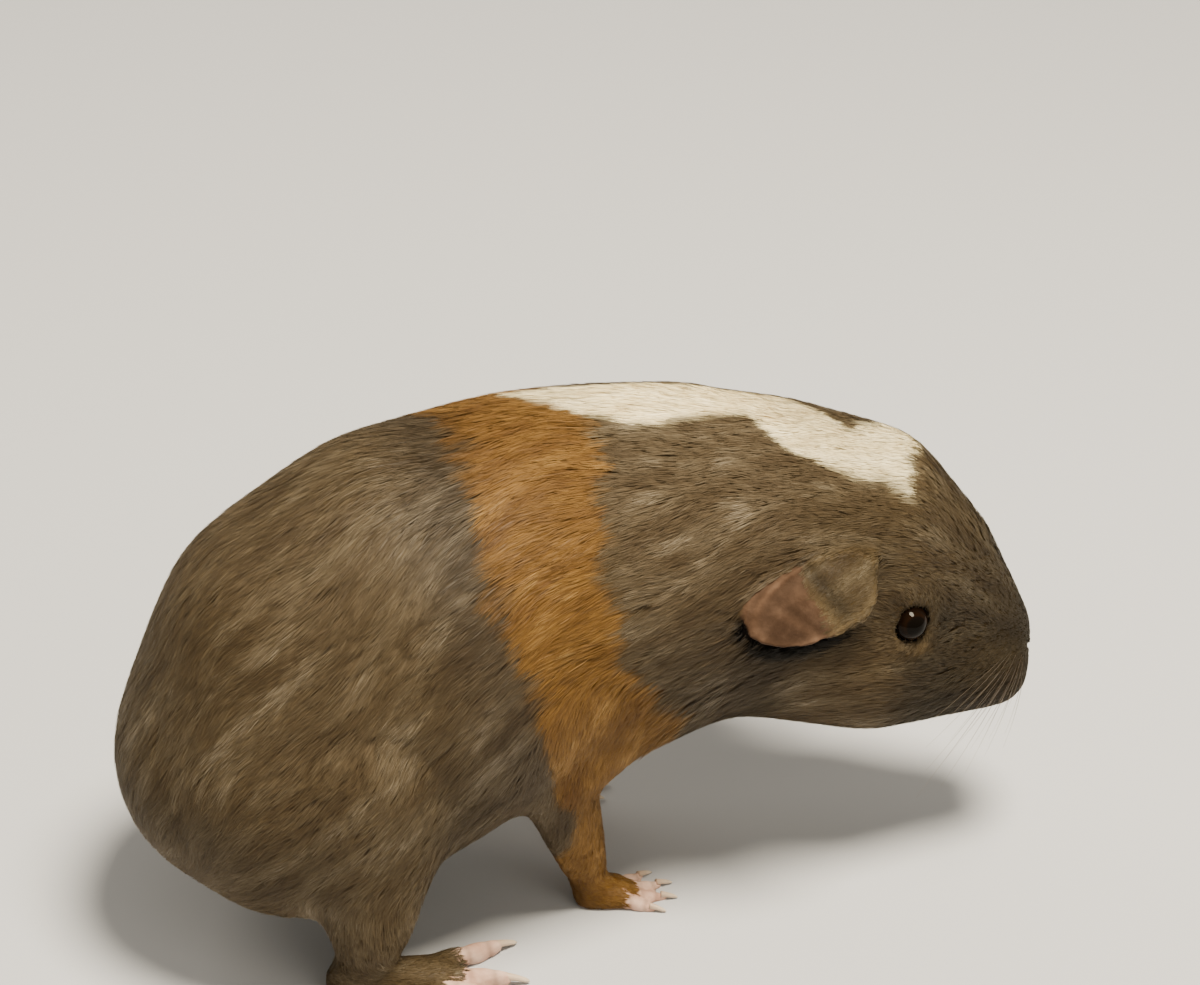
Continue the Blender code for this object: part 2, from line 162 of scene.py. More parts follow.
# Dark skin of the lid rims and nose, also put as painted shade in the cleft, along the mouth line and in the
# hollows below the ears, where it adds to the bald patch's own dark skin.
DARK_SKIN = (0.018, 0.010, 0.006, 1)
EYE_COLOURS = (
    (0.0, (0.002, 0.0015, 0.001)), (0.17, (0.003, 0.002, 0.0015)), (0.21, (0.008, 0.0035, 0.0015)),
    (0.30, (0.004, 0.002, 0.001)),
)
HORN = ((0.0, (0.52, 0.36, 0.27)), (0.35, (0.58, 0.44, 0.33)), (1.0, (0.66, 0.56, 0.44)))
HORN_GRAIN = (0.34, 0.25, 0.17, 1)
WHISKER = ((0.0, (0.03, 0.02, 0.012)), (0.5, (0.07, 0.05, 0.034)), (1.0, (0.18, 0.14, 0.10)))
SHEEN_TINT = (0.9, 0.8, 0.65, 1)
FLOOR_COLOUR = (0.52, 0.53, 0.58, 1)
ROOM_COLOUR, ROOM_STRENGTH = (1.0, 0.925, 0.75, 1), 0.38

# The camera and lights, in metres. A light has a place, a point it shines at, a size, a power and a colour.
# The fill light leaves no glint on the eyes and coat.
CAMERA_AZIMUTH, CAMERA_ELEVATION = math.radians(-20), math.radians(30)
CAMERA_TARGET, CAMERA_DISTANCE, CAMERA_LENS = Vector((0.0087, 0.0, 0.111)), 0.935, 108.0
LIGHTS = {
    "key": ((0.20, -0.30, 1.35), (0, 0, 0.08), 0.5, 60, (1.0, 0.89, 0.67)),
    "fill": ((0.4, -1.2, 0.7), (0, 0, 0.08), 1.0, 5, (1.0, 0.91, 0.72)),
    "back": ((-0.7, 1.0, 0.9), (0, 0, 0.06), 1.0, 7, (1.0, 0.91, 0.72)),
}


# ---------------- numbers and meshes

def unit(vectors):
    return vectors / np.maximum(np.linalg.norm(vectors, axis=-1, keepdims=True), 1e-9)


def distance(vectors):
    return np.linalg.norm(vectors, axis=1)


def rise(low, high, value):
    """0 at low, 1 at high, and smooth between them."""
    share = np.clip((value - low) / (high - low), 0.0, 1.0)
    return share * share * (3.0 - 2.0 * share)


def bell(value, middle, width):
    """1 at the middle, and almost nothing two widths away."""
    return np.exp(-(((value - middle) / width) ** 2))


def waves(points, size, seed, count=7):
    """Smooth noise between about -1 and 1, whose bumps are about that size."""
    rng = np.random.default_rng(seed)
    ways = unit(rng.normal(size=(count, 3))) * (2 * math.pi / size) * rng.uniform(0.7, 1.4, (count, 1)) / 2
    phases = rng.uniform(0, 2 * math.pi, count)
    return np.sin(points @ ways.T + phases).sum(1) / math.sqrt(count)


def numbers(items, name, width, kind=np.float64):
    """A value of each mesh item, as an array with that many columns."""
    found = np.empty(len(items) * width, np.float32 if kind == np.float64 else kind)
    items.foreach_get(name, found)
    return found.astype(kind).reshape(-1, width)


def node_points(name):
    return numbers(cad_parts[name].data.vertices, "co", 3) / MM


def node_box(name):
    return [np.array(corner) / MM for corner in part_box(name)]


def add_object(name, data):
    obj = bpy.data.objects.new(name, data)
    bpy.context.scene.collection.objects.link(obj)
    return obj


def mesh_from(shape, name):
    """A mesh of a bmesh, which is freed."""
    mesh = bpy.data.meshes.new(name)
    shape.to_mesh(mesh)
    shape.free()
    return mesh


def place_points(mesh, points):
    mesh.vertices.foreach_set("co", (points * MM).astype(np.float32).ravel())
    mesh.update()


def write_values(mesh, **named):
    """Gives the corners of a mesh the values that its material reads."""
    for name, values in named.items():
        kind, field = ("FLOAT_VECTOR", "vector") if values.ndim > 1 else ("FLOAT", "value")
        layer = mesh.attributes.new(name, kind, "POINT")
        layer.data.foreach_set(field, values.astype(np.float32).ravel())


def finish_piece(obj, material, slot, *nodes):
    """Gives a piece its material, attaches it to the root and hides the nodes it stands for. The slot is not
    used.
    """
    obj.data.materials.append(material)
    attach(obj, "root")
    if nodes:
        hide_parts(*nodes)


# ---------------- places on the head, ears and toes

TURN = Matrix.Rotation(HEAD_TURN, 3, "Z")
FORWARD, LEFT, UP = HEAD_WAYS = np.array([TURN @ Vector(axis) for axis in np.eye(3)])
EYES = {side: np.array(sum(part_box(f"eye_{side}"), Vector()) / 2) / MM for side in SIDES}
BROW = (EYES["left"] + EYES["right"]) / 2


def in_head(points):
    """Points as (forward, left, up) from the middle between the eyes."""
    return (points - BROW) @ HEAD_WAYS.T


def from_head(place):
    return BROW + place @ HEAD_WAYS


def nose_tip():
    """The foremost point of the head, in the head's own directions."""
    places = in_head(node_points("head"))
    front = places[places[:, 0] > places[:, 0].max() - 1.5].mean(0)
    return np.array((places[:, 0].max(), 0.0, front[2]))


def eye_axis(side):
    """Which way an eye looks."""
    return unit(LEFT * SIDES[side] + FORWARD * EYE_FORWARD + UP * EYE_UP)


def round_eye(points, side):
    """Where each point is from an eye's centre, how far, and its angle from where the eye looks."""
    away = points - EYES[side]
    reach = distance(away)
    return away, reach, np.arccos(np.clip(away @ eye_axis(side) / reach, -1, 1))


Ear = namedtuple("Ear", "middle back down out half_long half_wide")


def facing(way, wanted):
    return way if way @ wanted > 0 else -way


def measure_ear(side):
    """An ear's middle, its long, wide and outward directions, and half its length and width."""
    corners = node_points(f"ear_{side}")
    back, down, out = np.linalg.svd(corners - corners.mean(0), full_matrices=False)[2]
    wanted = (-FORWARD, -UP, LEFT * SIDES[side])
    back, down, out = ways = np.stack([facing(*pair) for pair in zip((back, down, out), wanted)])
    reaches = corners @ ways.T
    middle = (reaches.min(0) + reaches.max(0)) / 2 @ ways
    half_long, half_wide, _ = np.ptp(reaches, axis=0) / 2
    return Ear(middle, back, down, out, half_long, half_wide)


def measure_claw(name):
    """A claw's root, direction and length."""
    corners = node_points(name)
    way = facing(np.linalg.svd(corners - corners.mean(0), full_matrices=False)[2][0], (1, 0, 0))
    reach = corners @ way
    return corners[reach < reach.min() + 0.6].mean(0), way, np.ptp(reach)


NOSE = nose_tip()
EARS = {side: measure_ear(side) for side in SIDES}
CLAW_LINES = {name: measure_claw(name) for name in CLAWS}


def in_ear(points, ear):
    """Points from an ear's middle as shares of its half length and half width, and how far off its plane."""
    away = points - ear.middle
    return away @ ear.back / ear.half_long, away @ ear.down / ear.half_wide, away @ ear.out


def on_ear(points, ear):
    """1 on an ear and 0 beside it or off its plane."""
    back, down, out = in_ear(points, ear)
    return rise(1.08, 0.98, np.hypot(back, down) + 0.5 * rise(2.5, 4.0, np.abs(out)))


def ear_folds(points, ear):
    """How far each point lies on an ear's rim, on its two folds, and in the groove before them."""
    back, down, out = in_ear(points, ear)
    reach = np.hypot(back, down)
    rim = bell(reach, 0.90, 0.07)
    fold = bell(back + 0.15 * down, 0.12, 0.10) * rise(-0.7, -0.1, down)
    second = bell(back + 0.25 * down, 0.48, 0.08) * rise(-0.4, 0.0, down)
    groove = bell(back + 0.12 * down, -0.14, 0.12) * rise(1.0, 0.4, down)
    near = rise(3.2, 2.2, np.abs(out)) * rise(1.2, 1.05, reach)
    return rim * near, np.maximum(fold, 0.5 * second) * near, groove * near


def below_ear(points, ear, hollow):
    """How far each point lies in a hollow below an ear."""
    away = points - ear.middle
    below = -unit(UP - ear.back * (UP @ ear.back))
    back, down, inside = away @ ear.back, away @ below, away @ ear.out
    long, deep = ear.half_long + hollow[0], ear.down @ below * ear.half_wide + hollow[1]
    reach = np.hypot(back / long, np.maximum(down, 0) / deep)
    found = rise(1.08, 0.92, reach) * rise(-0.4, -1.6, inside) * rise(-24, -19, inside)
    return found * rise(-0.55, -0.15, back / ear.half_long) * rise(-1.5, 1.0, down)


def ear_hollows(points, kinds):
    """How far each point lies in the bare hollow below either ear."""
    hollows = [below_ear(points, ear, BARE_HOLLOW) for ear in EARS.values()]
    return np.maximum(*hollows) * (kinds != "ear")


def nose_places(points):
    """How far each point lies in the nostrils, on bare nose skin, in the cleft and in the mouth."""
    place = in_head(points) - NOSE
    forward, side, up = place[:, 0], np.abs(place[:, 1]), place[:, 2]
    wide, high = np.subtract(NOSTRIL_OUTER, NOSTRIL_INNER)
    along = np.clip((side - NOSTRIL_INNER[0]) / wide, 0, 1)
    away = np.hypot(side - NOSTRIL_INNER[0] - along * wide, up - NOSTRIL_INNER[1] - along * high)
    front = rise(-9, -5, forward)
    nostril = front * bell(away, 0, 0.55 + 0.5 * along)
    bare = front * rise(2.2, 1.1, away)
    below = rise(-13, -11, up) * rise(0.5, -1.5, up)
    cleft = bell(side, 0, 0.6) * below * rise(-12, -7, forward)
    lips = bell(up, MOUTH_HEIGHT - MOUTH_DROOP * side ** 1.35, 0.8)
    return nostril, bare, cleft, lips * rise(15, 11, side) * rise(-26, -18, forward)


def toe_places(points):
    """The toe each point is nearest to: its size and level direction, and how far back, off and away it is.

    The size is one for a toe of the hind foot, and the distances are in millimetres of such a toe.
    """
    toes = []
    for root, way, length in CLAW_LINES.values():
        size, level = length / HIND_CLAW, unit(way * (1, 1, 0))
        away = (points - root) / size
        back = -(away @ level)
        across = away + level * back[:, None] - UP * TOE_RISE
        reach = distance(across * (1, 1, 0.8)) + 0.3 * np.maximum(-3 - back, 0)
        toes.append((np.full(len(points), size), np.tile(level, (len(points), 1)), back, across, reach))
    nearest = np.argmin([toe[-1] for toe in toes], axis=0), np.arange(len(points))
    return [np.array(item)[nearest] for item in zip(*toes)]


# ---------------- the skin

def flesh_shell():
    """The flesh nodes as one mesh, each pushed out a little so that they overlap at the cuts."""
    shell = bmesh.new()
    for name in FLESH:
        piece = bmesh.new()
        piece.from_mesh(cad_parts[name].data)
        bmesh.ops.remove_doubles(piece, verts=piece.verts, dist=WELD)
        bmesh.ops.recalc_face_normals(piece, faces=piece.faces)
        for corner in piece.verts:
            corner.co += corner.normal * SEAM_OVERLAP * MM
        mesh = mesh_from(piece, name)
        shell.from_mesh(mesh)
        bpy.data.meshes.remove(mesh)
    return shell


def fused_skin():
    """The flesh shell as one closed surface of even faces."""
    obj = add_object("skin", mesh_from(flesh_shell(), "skin"))
    remesh = obj.modifiers.new("fuse", "REMESH")
    remesh.mode = "VOXEL"
    remesh.voxel_size = SKIN_VOXEL * MM
    graph = bpy.context.evaluated_depsgraph_get()
    graph.update()
    obj.data = bpy.data.meshes.new_from_object(obj.evaluated_get(graph))
    obj.modifiers.clear()
    return obj


def nearest_parts(points):
    """The flesh node each point lies nearest to, as an index into FLESH."""
    corners, faces, owner = [], [], []
    for number, name in enumerate(FLESH):
        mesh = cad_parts[name].data
        start = len(corners)
        corners.extend(v.co.copy() for v in mesh.vertices)
        faces.extend([start + i for i in polygon.vertices] for polygon in mesh.polygons)
        owner.extend([number] * len(mesh.polygons))
    tree = BVHTree.FromPolygons(corners, faces)
    found = [tree.find_nearest(Vector(p) * MM)[2] for p in points]
    return np.array(owner)[found]


class Surface:
    """The skin as arrays: its points and the parts they belong to, its edges and its triangles."""

    def __init__(self, mesh):
        self.mesh = mesh
        self.points = numbers(mesh.vertices, "co", 3) / MM
        self.edges = numbers(mesh.edges, "vertices", 2, np.int32)
        mesh.calc_loop_triangles()
        self.triangles = numbers(mesh.loop_triangles, "vertices", 3, np.int32)
        self.neighbours = np.bincount(self.edges.ravel(), minlength=len(self.points))
        self.parts = nearest_parts(self.points)
        self.kinds = KINDS[self.parts]

    def on(self, name):
        """Which points belong to a flesh node."""
        return self.parts == FLESH.index(name)

    def mean_of_neighbours(self, values):
        a, b = self.edges.T
        count = len(self.points)
        columns = values.reshape(count, -1).T
        totals = [np.bincount(a, column[b], count) + np.bincount(b, column[a], count) for column in columns]
        return (np.stack(totals, -1) / self.neighbours[:, None]).reshape(values.shape)

    def spread(self, values, passes):
        for _ in range(passes):
            values = (values + self.mean_of_neighbours(values)) / 2
        return values

    def planned(self, field, passes):
        """A column of PARTS at each point, spread over the borders between the parts."""
        values = np.array([getattr(PARTS[kind], field) for kind in KINDS], float)
        return self.spread(values[self.parts], passes)

    def smooth(self, passes):
        """Smooths the points, each for its own number of passes."""
        for step in range(int(passes.max())):
            share = 0.5 * np.clip(passes - step, 0, 1)[:, None]
            self.points += share * (self.mean_of_neighbours(self.points) - self.points)

    def normals(self):
        a, b, c = (self.points[self.triangles[:, i]] for i in range(3))
        across = np.cross(b - a, c - a)
        total = np.zeros_like(self.points)
        for corner in range(3):
            for axis in range(3):
                total[:, axis] += np.bincount(self.triangles[:, corner], across[:, axis], len(self.points))
        return unit(total)


def near_tiny_features(points, more=0.0):
    """Round the lids, nostrils and mouth."""
    close = distance((in_head(points) - NOSE) * (1.0, 1.0, 0.75)) < 8.0 + 3 * more
    for eye in EYES.values():
        close |= distance(points - eye) < 6.8 + more
    return close


def near_small_features(points):
    """Round the eyes, nose and mouth, and on the ears and toes."""
    close = near_tiny_features(points, 3.0)
    for side in SIDES:
        low, high = node_box(f"ear_{side}")
        close |= ((points > low - 1) & (points < high + 1)).all(1)
    for name in CLAWS:
        low, high = node_box(name)
        close |= distance((points - (low + high) / 2) * (0.7, 1, 1)) < 9
    return close


def refine(mesh, near):
    """Divides each face whose middle is near a feature into four."""
    shape = bmesh.new()
    shape.from_mesh(mesh)
    middles = np.array([face.calc_center_median() for face in shape.faces]) / MM
    edges = {edge for face, wanted in zip(shape.faces, near(middles)) if wanted for edge in face.edges}
    bmesh.ops.subdivide_edges(shape, edges=list(edges), cuts=1, use_grid_fill=True)
    shape.to_mesh(mesh)
    shape.free()


def draw_in(skin, plan):
    """Draws the skin in by the coat's depth, and by more in the hollows below the ears."""
    inwards = plan.depth + SEAM_OVERLAP - skin.planned("regained", 12)
    inwards += HOLLOW_DEPTH * ear_hollows(skin.points, skin.kinds)
    skin.points -= skin.normals() * inwards[:, None]


def shape_ears(skin):
    """Rolls each ear's rim outwards and raises the folds that run from its root to its free edge."""
    normals = skin.normals()
    for side, ear in EARS.items():
        outer = rise(0.1, 0.5, normals @ ear.out) * skin.on(f"ear_{side}")
        rim, fold, groove = ear_folds(skin.points, ear)
        skin.points += ear.out * ((EAR_RIM * rim + EAR_FOLD * fold - EAR_GROOVE * groove) * outer)[:, None]


def widen_ears(skin):
    """Draws out the lower front corner of each ear, so that its front end is broad and blunt."""
    for side, ear in EARS.items():
        here = skin.spread(skin.on(f"ear_{side}").astype(float), 6)
        back, down, _ = in_ear(skin.points, ear)
        corner = bell(np.arctan2(down, -back), CORNER_TURN, CORNER_WIDTH)
        more = EAR_CORNER * corner * rise(0.35, 1.0, np.hypot(down, back)) * here
        skin.points += ear.back * (back * ear.half_long * more)[:, None]
        skin.points += ear.down * (down * ear.half_wide * more)[:, None]


def shape_toes(skin):
    """Draws each toe out over its claw's root, with taper and knuckles. Returns how far each point lies in a
    crease, for the painted shade there.
    """
    size, level, back, across, reach = toe_places(skin.points)
    here = rise(4.6, 3.8, reach) * rise(15, 11, back)
    taper = 1 - 0.38 * rise(3.4, -0.6, back)
    fold = bell(back, 3.0, 0.5) + 0.8 * bell(back, 6.8, 0.6)
    knuckle = bell(back, 4.8, 1.3) + 0.6 * bell(back, 9.0, 1.6)
    scale = taper * (1 - 0.09 * fold + 0.10 * knuckle)
    skin.points += across * (size * (scale - 1) * here)[:, None]
    skin.points += level * (size * TOE_REACH * rise(8.0, 0, back) * here)[:, None]
    return here * np.clip(fold, 0, 1)


def shape_nose_and_mouth(skin):
    """Sinks the nostrils, the cleft below them, and the mouth line."""
    nostril, bare, cleft, mouth = nose_places(skin.points)
    sink = NOSTRIL_SINK * nostril - NOSTRIL_LIP * (bare - nostril) + CLEFT_SINK * cleft + MOUTH_SINK * mouth
    skin.points -= skin.normals() * sink[:, None]


def shape_lids(skin):
    """Draws the skin over each eyeball as two lids round an almond opening. Returns how near each rim is."""
    rims = []
    for side, eye in EYES.items():
        axis = eye_axis(side)
        level = unit(FORWARD - axis * (FORWARD @ axis) - UP * 0.12)
        away, reach, angle = round_eye(skin.points, side)
        around = np.arctan2(away @ np.cross(axis, level), away @ level)
        opening = LID_OPENING * (1 + LID_ALMOND * np.cos(2 * around))
        lid = EYE_RADIUS + LID_GAP + LID_THICKNESS * bell(angle, opening + 0.10, LID_ROLL)
        close = reach < EYE_RADIUS + LID_REACH
        wanted = np.where(close & (angle > opening) & (angle < 2.0), np.maximum(reach, lid), reach)
        wanted = np.where(close & (angle <= opening), EYE_RADIUS - EYE_SOCKET, wanted)
        skin.points = eye + away * (wanted / reach)[:, None]
        rims.append(np.where(close, bell(angle, opening, LID_RIM), 0))
    return np.maximum(*rims)


def bare_places(skin, rim):
    """Where the skin shows: on the ears, on the toes and soles, and where it is dark: at the nostrils and lid
    rims, and as painted shade in the cleft, the mouth line and the hollows below the ears.
    """
    points, kinds = skin.points, skin.kinds
    ear = np.zeros(len(points))
    for side in SIDES:
        share = 0.5 + in_ear(points, EARS[side])[0] / 2 + 0.05 * waves(points, 8, 21)
        ear = np.where(skin.on(f"ear_{side}"), rise(0.42, 0.52, share), ear)
    foot = (kinds == "hindfoot") | (kinds == "forefoot")
    sole = foot * rise(-0.35, -0.7, skin.normals()[:, 2]) * rise(6, 4, points[:, 2])
    _, _, back, _, reach = toe_places(points)
    end = rise(1.0, -1.0, back + 1.2 * waves(points, 4, 22) - BARE_TOE)
    toe = np.maximum(sole, rise(5.0, 4.2, reach) * end)
    _, nose_skin, cleft, mouth = nose_places(points)
    hollow = HOLLOW_SKIN * ear_hollows(points, kinds)
    # Painted shade in the cleft, the mouth line and the ear hollows.
    dark = np.maximum.reduce([rim, nose_skin, 0.7 * cleft, 0.8 * mouth, hollow])
    return skin.spread(ear, 2), skin.spread(toe, 2), np.clip(dark, 0, 1)


def paint_skin(skin, bare, crease):
    """Gives the skin the values that its material reads."""
    lie = lie_of_coat(skin)
    orange, white, tone, light = markings(skin.points, 0.0)
    chance = np.clip(0.42 + 0.20 * streaks(skin.points, lie, 2.2, 7, 31), 0, 1)
    # The skin under the coat takes the colour a hair has well out from its dark root: painted light, so that
    # gaps in the coat look less dark.
    along, hair = np.full(len(chance), 0.7), np.full(len(chance), 0.5)
    # The toes' creases are darkened as painted shade.
    write_values(
        skin.mesh, lock=np.stack([along, chance, hair], -1), root=skin.points * MM,
        marks=np.stack([orange, white, tone], -1), light=light * (1 - 0.3 * crease), bare=np.stack(bare, -1),
    )


def build_skin():
    obj = fused_skin()
    refine(obj.data, near_small_features)
    refine(obj.data, near_tiny_features)
    skin = Surface(obj.data)
    skin.smooth(skin.planned("smoothing", 6))
    plan = plan_coat(skin)
    draw_in(skin, plan)
    shape_ears(skin)
    widen_ears(skin)
    crease = shape_toes(skin)
    shape_nose_and_mouth(skin)
    rim = shape_lids(skin)
    height = skin.points[:, 2]
    skin.points[:, 2] = np.maximum(height - FOOT_DROP * rise(5, 1.5, height), 0.0)
    place_points(obj.data, skin.points)
    obj.data.shade_smooth()
    bare = bare_places(skin, rim)
    paint_skin(skin, bare, crease)
    finish_piece(obj, skin_material(), "coat", *FLESH)
    return obj, skin, bare, plan


# ---------------- eyes, claws and whiskers

def build_eyes():
    """Eyeballs whose clear front stands out a little."""
    for side, centre in EYES.items():
        ball = bmesh.new()
        bmesh.ops.create_uvsphere(ball, u_segments=64, v_segments=40, radius=EYE_RADIUS * MM)
        bmesh.ops.translate(ball, verts=ball.verts, vec=Vector(centre) * MM)
        mesh = mesh_from(ball, f"eyeball_{side}")
        mesh.shade_smooth()
        away, reach, angle = round_eye(numbers(mesh.vertices, "co", 3) / MM, side)
        bulge = CORNEA_RISE * rise(CORNEA_EDGE, 0.0, angle)
        place_points(mesh, centre + away * ((EYE_RADIUS + bulge) / reach)[:, None])
        write_values(mesh, off_axis=angle / math.pi)
        finish_piece(add_object(mesh.name, mesh), eye_material(), "eye", f"eye_{side}")


def tube(shape, centres, radii, sides):
    """A closed tube through the centres with those radii."""
    way = unit(np.gradient(centres, axis=0))
    across = unit(np.cross(way, (0.13, 0.21, 0.97)))
    over = np.cross(across, way)
    angles = np.arange(sides) * 2 * math.pi / sides
    rings = []
    for centre, radius, a, b in zip(centres, radii, across, over):
        ring = centre + radius * (np.cos(angles)[:, None] * a + np.sin(angles)[:, None] * b)
        rings.append([shape.verts.new(point * MM) for point in ring])
    for near, far in zip(rings, rings[1:]):
        for j in range(sides):
            k = (j + 1) % sides
            shape.faces.new((near[j], far[j], far[k], near[k]))
    shape.faces.new(rings[0])
    shape.faces.new(rings[-1][::-1])


def tube_object(name, lines, sides):
    """An object of tubes, each given as its centres and radii, whose corners say how far along they are."""
    shape = bmesh.new()
    along = []
    for centres, radii in lines:
        tube(shape, centres, radii, sides)
        along.extend(np.repeat(np.linspace(0, 1, len(centres)), sides))
    bmesh.ops.recalc_face_normals(shape, faces=shape.faces)
    mesh = mesh_from(shape, name)
    mesh.shade_smooth()
    write_values(mesh, along=np.array(along))
    return add_object(name, mesh)


def build_claws():
    """Smooth horn in place of each claw's node, rooted in its toe."""
    for name, (root, way, length) in CLAW_LINES.items():
        corners = node_points(name)
        reach = (corners - root) @ way
        centre_fit = [np.polyfit(reach, corners[:, axis], 2) for axis in range(3)]
        middle = np.stack([np.polyval(fit, reach) for fit in centre_fit], -1)
        radius_fit = np.polyfit(reach, distance(corners - middle), 2)
        at = np.linspace((TOE_REACH - CLAW_ROOT) * length / HIND_CLAW, length, CLAW_RINGS)
        centres = np.stack([np.polyval(fit, at) for fit in centre_fit], -1)
        narrow = np.linspace(1, CLAW_TIP, len(at))
        radii = np.polyval(radius_fit, 0.4) * narrow * np.sqrt(np.clip((length + 0.35 - at) / 1.4, 0.02, 1))
        horn = tube_object(name.replace("claw", "horn"), [(centres, radii)], CLAW_SIDES)
        finish_piece(horn, horn_material(), "claw", name)


def whisker(rng, tree, sign, row, column):
    """One whisker's centres and radii, from below the skin of the muzzle outwards and back."""
    back = -4.5 - 2.3 * column - 0.5 * row + rng.uniform(-0.4, 0.4)
    up = 0.2 - 2.4 * row + rng.uniform(-0.3, 0.3)
    beside = from_head(NOSE + (back, sign * 9.0, up))
    length = 17 + 3.2 * column + rng.uniform(-2, 3)
    way = unit(LEFT * sign * 0.95 - FORWARD * (0.25 + 0.13 * column) - UP * (0.05 + 0.12 * row))
    root = np.array(tree.find_nearest(Vector(beside) * MM)[0]) / MM - way * 1.2
    bend = -FORWARD * 0.16 - UP * (0.10 + 0.03 * row) + LEFT * rng.normal(0, 0.03)
    share = np.linspace(0, 1, 9)[:, None]
    return root + way * length * share + bend * length * share ** 2, WHISKER_RADIUS * (1 - 0.8 * share[:, 0])


def build_whiskers():
    rng = np.random.default_rng(5)
    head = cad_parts["head"].data
    tree = BVHTree.FromPolygons([v.co for v in head.vertices], [p.vertices for p in head.polygons])
    for side, sign in SIDES.items():
        places = [(row, column) for row in range(WHISKER_ROWS) for column in range(WHISKER_COLUMNS)]
        lines = [whisker(rng, tree, sign, *place) for place in places]
        finish_piece(tube_object(f"whiskers_{side}", lines, WHISKER_SIDES), whisker_material(), "coat")


# ---------------- the lie of the coat and its markings

def lie_of_coat(skin):
    """Which way the hairs lie at each point of the skin: back from the nose, and down over the haunches."""
    points, normals = skin.points, skin.normals()
    slope = np.interp(points[:, 0], [-61, -12, 30], [1.05, 0.45, -0.05])
    slope = np.maximum(slope, 0.5 * rise(75, 50, points[:, 2]) * rise(0, 25, points[:, 0]))
    body = unit(np.stack([-np.ones(len(points)), np.zeros(len(points)), -slope], -1))
    place = in_head(points) - NOSE - (4.0, 0.0, 2.0)
    on_head = rise(85, 45, distance(place))[:, None]
    lie = unit(body * (1 - on_head) + unit(place) @ HEAD_WAYS * on_head)
    for side, sign in SIDES.items():
        lie[skin.on(f"foreleg_{side}")] = unit(np.array((-0.3, 0.0, -1.0)))
        hindleg = skin.on(f"hindleg_{side}")
        low = rise(45, 22, points[hindleg, 2])[:, None]
        lie[hindleg] = unit(lie[hindleg] * (1 - low) + np.array((0.05, 0.0, -1.0)) * low)
        for foot in ("forefoot", "hindfoot"):
            lie[skin.on(f"{foot}_{side}")] = unit(np.array((1.0, 0.15 * sign, -0.25)))
        lie[skin.on(f"ear_{side}")] = EARS[side].back
    lie = unit(skin.spread(lie, 14))
    for eye in EYES.values():
        away = points - eye
        reach = np.linalg.norm(away, axis=1, keepdims=True)
        lie = lie + away / reach * 1.3 * bell(reach, EYE_RADIUS, 5.0)
    return unit(lie - normals * (lie * normals).sum(1, keepdims=True))


def streaks(points, lie, width, reach, seed):
    """Smooth noise drawn out along the lie of the coat, between about -1 and 1."""
    steps = np.linspace(-1, 1, 7) * reach
    total = sum(waves(points + lie * step, width * 2.4, seed, 22) for step in steps)
    return total / math.sqrt(len(steps) * 2.2)


def edge(table, value):
    places, edges = np.array(table, float).T
    return np.interp(value, places, edges)


def between(low, high, value, soft, rough):
    """1 between two edges, which are that soft, and ragged by that much."""
    return rise(-soft, soft, value - low + rough) * rise(-soft, soft, high - value + rough)


def markings(points, ragged):
    """How orange, how white and how warm in tone each place is, and how light: the fur's own lighter and
    darker places together with painted light and shade, mostly from 0 to 1.
    """
    x, y, z = points.T
    soft = RAGGED_EDGE if ragged else SKIN_EDGE
    rough = ragged * (1.7 * waves(points, 9, 11) + 1.1 * waves(points, 4, 12))
    rear, front = edge(BAND_REAR, z), edge(BAND_FRONT, z)
    orange = between(rear, front, x, soft, rough)
    nape = rise(-15, -13, x) * rise(92, 89, x) * rise(98, 104, z)
    white = between(edge(NAPE_RIGHT, x), edge(NAPE_LEFT, x), y, soft, 0.6 * rough) * nape

    place = in_head(points)
    forward, up = place[:, 0], place[:, 2]
    from_nose = distance(place - NOSE)
    behind_band = rise(26, 4, rear - x) * rise(-6, 0, rear - x)
    shoulder = rise(-2, 8, x - front) * rise(60, 44, x)
    throat = rise(95, 65, z) * rise(24, 40, x)
    low_rump = rise(75, 35, z) * rise(-20, -60, x)
    forehead = rise(0, 14, up) * rise(-14, 2, forward)
    cheek = rise(0, -14, up) * rise(2, -12, forward) * rise(-45, -25, forward)

    tone = 0.62 - 0.40 * np.maximum(behind_band, 0.55 * shoulder) * rise(35, 70, z)
    tone += 0.25 * forehead + 0.22 * low_rump + 0.35 * rise(60, 25, from_nose)
    # Darker towards the nose, for its darker fur and as painted shade. Painted light lifts the low part of
    # the band and the cheek in the ear's shadow. Painted shade darkens the throat under the head, and the top
    # behind the band to hold down its sheen.
    light = 1.02 - 0.18 * rise(24, 4, from_nose) - 0.32 * rise(66, 30, from_nose)
    light += 0.10 * orange * rise(92, 75, z) + 0.16 * shoulder * rise(85, 105, z)
    light += 0.70 * cheek - 0.30 * throat - 0.20 * behind_band * rise(85, 110, z)
    tone, light = mark_face(points, tone, light)
    return orange, white, np.clip(tone, 0, 1), np.clip(light, 0, 2.4)


